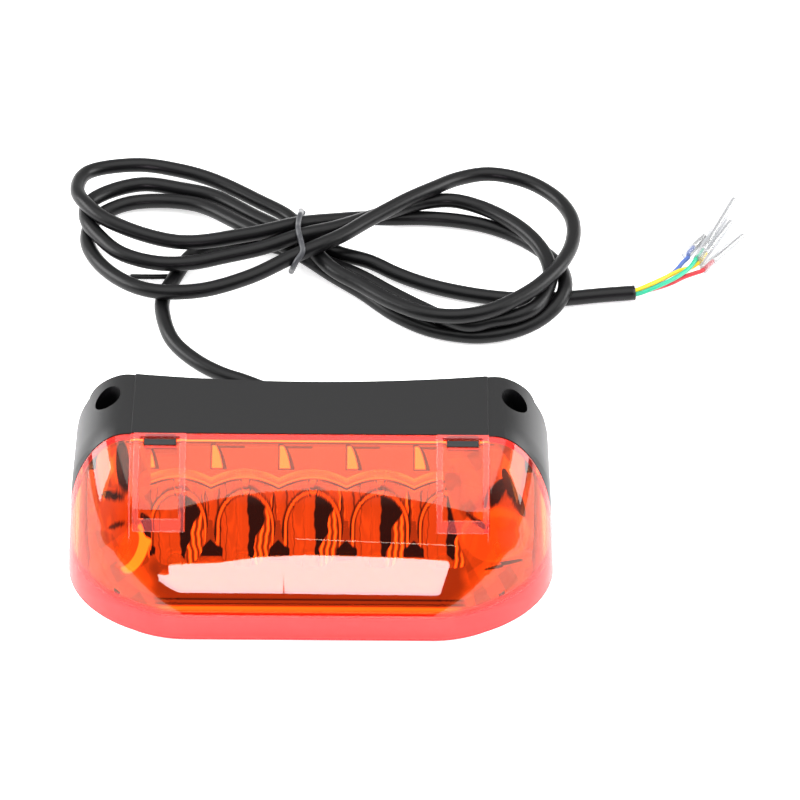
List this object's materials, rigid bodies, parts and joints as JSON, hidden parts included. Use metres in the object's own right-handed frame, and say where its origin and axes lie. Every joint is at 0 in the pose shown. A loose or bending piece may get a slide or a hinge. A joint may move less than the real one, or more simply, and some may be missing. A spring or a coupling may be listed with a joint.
{
  "type": "LED rear tail light",
  "caption": "Compact red LED tail light with a curved wraparound lens, a flat black top strip with two screw tunnels, and a coiled four-core cable with sleeved bare ends.",
  "frame": {"origin": "the lamp's flat mounting back at z = 0, on the lamp's centre line, at the parting line between lens and housing", "axes": "+Z away from the mounting face towards the top strip, -Y towards the front of the lens, +Y towards the cable, +X to the right of someone facing the lens's back with the strip up"},
  "size_m": [0.2128, 0.1983, 0.0445],
  "materials": {
    "black_abs": "fine satin moulding, near black",
    "red_polycarbonate": "transparent red, polished",
    "metallised_mirror": "vacuum metallised, bright",
    "seal_rubber": "matt",
    "board_laminate": "green solder resist",
    "clear_epoxy": "clear cast epoxy",
    "resistor_body": "matt",
    "chip_body": "matt",
    "plated_screw": "zinc plated",
    "grommet_rubber": "matt",
    "jacket_pvc": "satin PVC jacket",
    "tie_pvc": "satin PVC-covered wire",
    "core_blue": "satin PVC",
    "core_yellow": "satin PVC",
    "core_green": "satin PVC",
    "core_red": "satin PVC",
    "tinned_brass": "tinned, semi-bright",
    "clear_pvc": "clear soft PVC, slightly cloudy"
  },
  "bodies": {
    "root": {"board_screw_left": "plated_screw", "board_screw_right": "plated_screw", "cable_grommet": "grommet_rubber", "cable_hank": "jacket_pvc", "cable_lead": "jacket_pvc", "cable_tail": "jacket_pvc", "circuit_board": "board_laminate", "conductor_blue": "core_blue", "conductor_green": "core_green", "conductor_red": "core_red", "conductor_yellow": "core_yellow", "driver_chip": "chip_body", "housing": "black_abs", "inner_wire_blue": "core_blue", "inner_wire_green": "core_green", "inner_wire_red": "core_red", "inner_wire_yellow": "core_yellow", "led_1": "clear_epoxy", "led_2": "clear_epoxy", "led_3": "clear_epoxy", "led_4": "clear_epoxy", "led_5": "clear_epoxy", "lens": "red_polycarbonate", "lens_seal": "seal_rubber", "rectifier": "chip_body", "reflector": "metallised_mirror", "resistor_1": "resistor_body", "resistor_2": "resistor_body", "resistor_3": "resistor_body", "resistor_4": "resistor_body", "side_led_left": "clear_epoxy", "side_led_right": "clear_epoxy", "sleeve_blue": "clear_pvc", "sleeve_green": "clear_pvc", "sleeve_red": "clear_pvc", "sleeve_yellow": "clear_pvc", "terminal_blue": "tinned_brass", "terminal_green": "tinned_brass", "terminal_red": "tinned_brass", "terminal_yellow": "tinned_brass", "twist_tie": "tie_pvc"}
  },
  "joints": []
}
